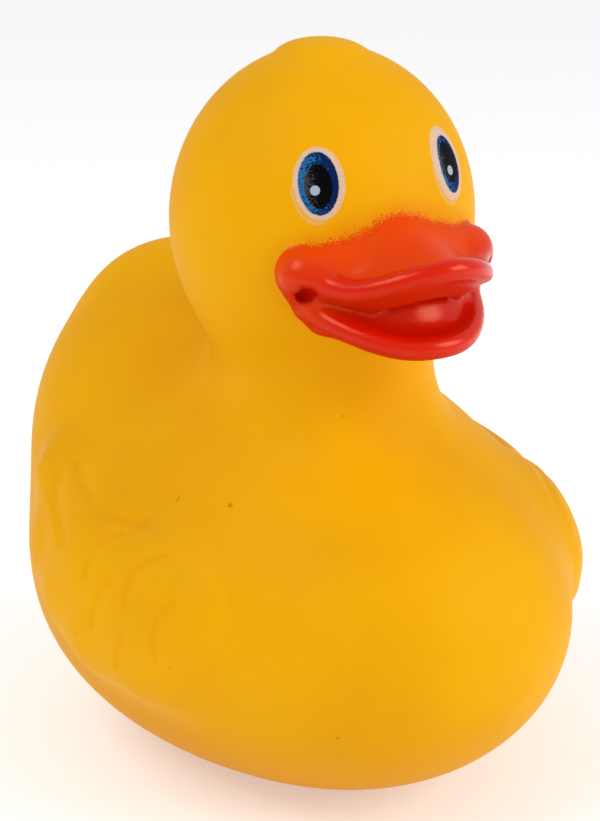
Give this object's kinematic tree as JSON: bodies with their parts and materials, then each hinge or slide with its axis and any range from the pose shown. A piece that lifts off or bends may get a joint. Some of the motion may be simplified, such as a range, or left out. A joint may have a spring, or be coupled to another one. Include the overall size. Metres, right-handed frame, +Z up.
{
  "type": "rubber duck",
  "caption": "Hollow vinyl bath duck with a round head, a broad painted bill, moulded wings and a small flat base to stand on.",
  "frame": {"origin": "on the table, under the middle of the moulding", "axes": "the duck faces -Y, its left wing is on +X, and +Z points up"},
  "size_m": [0.0692, 0.0872, 0.0918],
  "materials": {
    "vinyl": "soft satin golden yellow vinyl, with glossy red-orange paint on the bill and printed eyes"
  },
  "bodies": {
    "root": {"duck_shell": "vinyl"}
  },
  "joints": []
}
